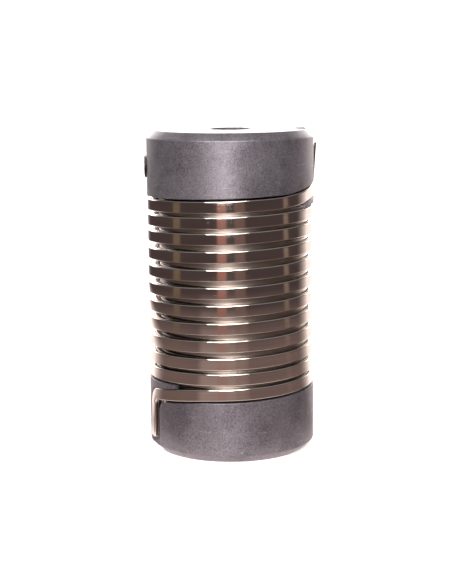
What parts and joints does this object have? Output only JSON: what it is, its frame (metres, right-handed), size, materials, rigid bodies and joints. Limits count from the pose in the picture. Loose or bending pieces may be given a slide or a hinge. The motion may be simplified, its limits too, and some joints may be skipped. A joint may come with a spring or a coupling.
{
  "type": "flexible shaft coupling",
  "caption": "Flexible shaft coupling: two hubs with set-screw bores joined by nested flat-wire springs wound in opposite hands.",
  "frame": {"origin": "centre of the lower hub's end face, on the shaft axis", "axes": "+Z along the shaft axis from the lower hub to the upper hub, -Y towards the front"},
  "size_m": [0.0267, 0.0263, 0.05],
  "materials": {
    "hub_metal": "matt, finely speckled",
    "spring_steel": "polished flat wire",
    "screw_steel": "dark oxide"
  },
  "bodies": {
    "lower_hub": {"lower_hub": "hub_metal"},
    "upper_hub": {"upper_hub": "hub_metal"},
    "outer_spring": {"outer_spring": "spring_steel"},
    "middle_spring": {"middle_spring": "spring_steel"},
    "inner_spring": {"inner_spring": "spring_steel"},
    "lower_grub_screw_a": {"lower_grub_screw_a": "screw_steel"},
    "lower_grub_screw_b": {"lower_grub_screw_b": "screw_steel"},
    "upper_grub_screw_a": {"upper_grub_screw_a": "screw_steel"},
    "upper_grub_screw_b": {"upper_grub_screw_b": "screw_steel"}
  },
  "joints": [
    {"name": "bend_fore_aft", "type": "hinge", "parent": "lower_hub", "child": "outer_spring", "pos_m": [0, 0, 0.014], "axis": [1, 0, 0], "range_deg": [-4, 4], "stiffness_Nm_per_rad": 0.25, "deforming": ["outer_spring"]},
    {"name": "axial_play", "type": "slide", "parent": "outer_spring", "child": "middle_spring", "axis": [0, 0, 1], "range_m": [-0.0008, 0.0008], "stiffness_N_per_m": 3000, "deforming": ["middle_spring"]},
    {"name": "wind_up", "type": "hinge", "parent": "middle_spring", "child": "inner_spring", "pos_m": [0, 0, 0.0305], "axis": [0, 0, 1], "range_deg": [-3, 3], "stiffness_Nm_per_rad": 1.2, "deforming": ["inner_spring"]},
    {"name": "bend_side_to_side", "type": "hinge", "parent": "inner_spring", "child": "upper_hub", "pos_m": [0, 0, 0.0365], "axis": [0, 1, 0], "range_deg": [-4, 4], "stiffness_Nm_per_rad": 0.25},
    {"name": "lower_screw_a_travel", "type": "slide", "parent": "lower_hub", "child": "lower_grub_screw_a", "axis": [0.9272, 0.3746, 0], "range_m": [-0.0003, 0.003]},
    {"name": "lower_screw_b_travel", "type": "slide", "parent": "lower_hub", "child": "lower_grub_screw_b", "axis": [-0.3746, 0.9272, 0], "range_m": [-0.0003, 0.003]},
    {"name": "upper_screw_a_travel", "type": "slide", "parent": "upper_hub", "child": "upper_grub_screw_a", "axis": [-1, 0, 0], "range_m": [-0.0003, 0.003]},
    {"name": "upper_screw_b_travel", "type": "slide", "parent": "upper_hub", "child": "upper_grub_screw_b", "axis": [0, 1, 0], "range_m": [-0.0003, 0.003]}
  ]
}
